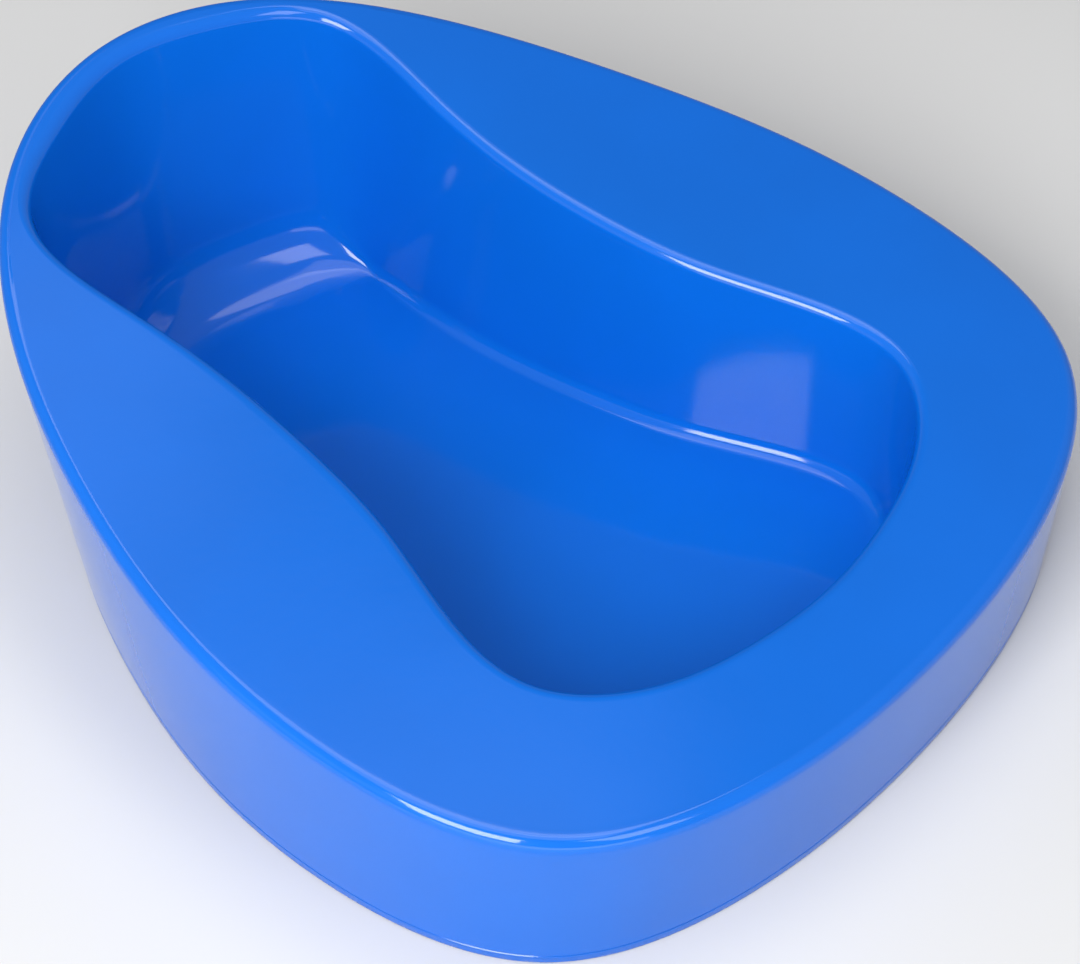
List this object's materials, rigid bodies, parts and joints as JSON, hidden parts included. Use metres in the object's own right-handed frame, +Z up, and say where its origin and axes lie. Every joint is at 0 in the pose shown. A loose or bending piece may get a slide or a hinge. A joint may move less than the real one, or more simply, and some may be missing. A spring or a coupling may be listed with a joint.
{
  "type": "bedpan",
  "caption": "Low bedpan with a wide contoured seat deck, a deep pear-shaped basin and a smooth skirt on a flat closed base.",
  "frame": {"origin": "middle of the length and width, on the ground under the base", "axes": "+Y along the pan to its narrow, tall front end; +Z up; +X across it"},
  "size_m": [0.3206, 0.3601, 0.1196],
  "materials": {
    "shell_plastic": "glossy moulded polypropylene, saturated blue",
    "base_plastic": "glossy moulded polypropylene, the same blue"
  },
  "bodies": {
    "root": {"seat_deck": "shell_plastic", "skirt": "shell_plastic", "basin": "shell_plastic", "base_cover": "base_plastic"}
  },
  "joints": []
}
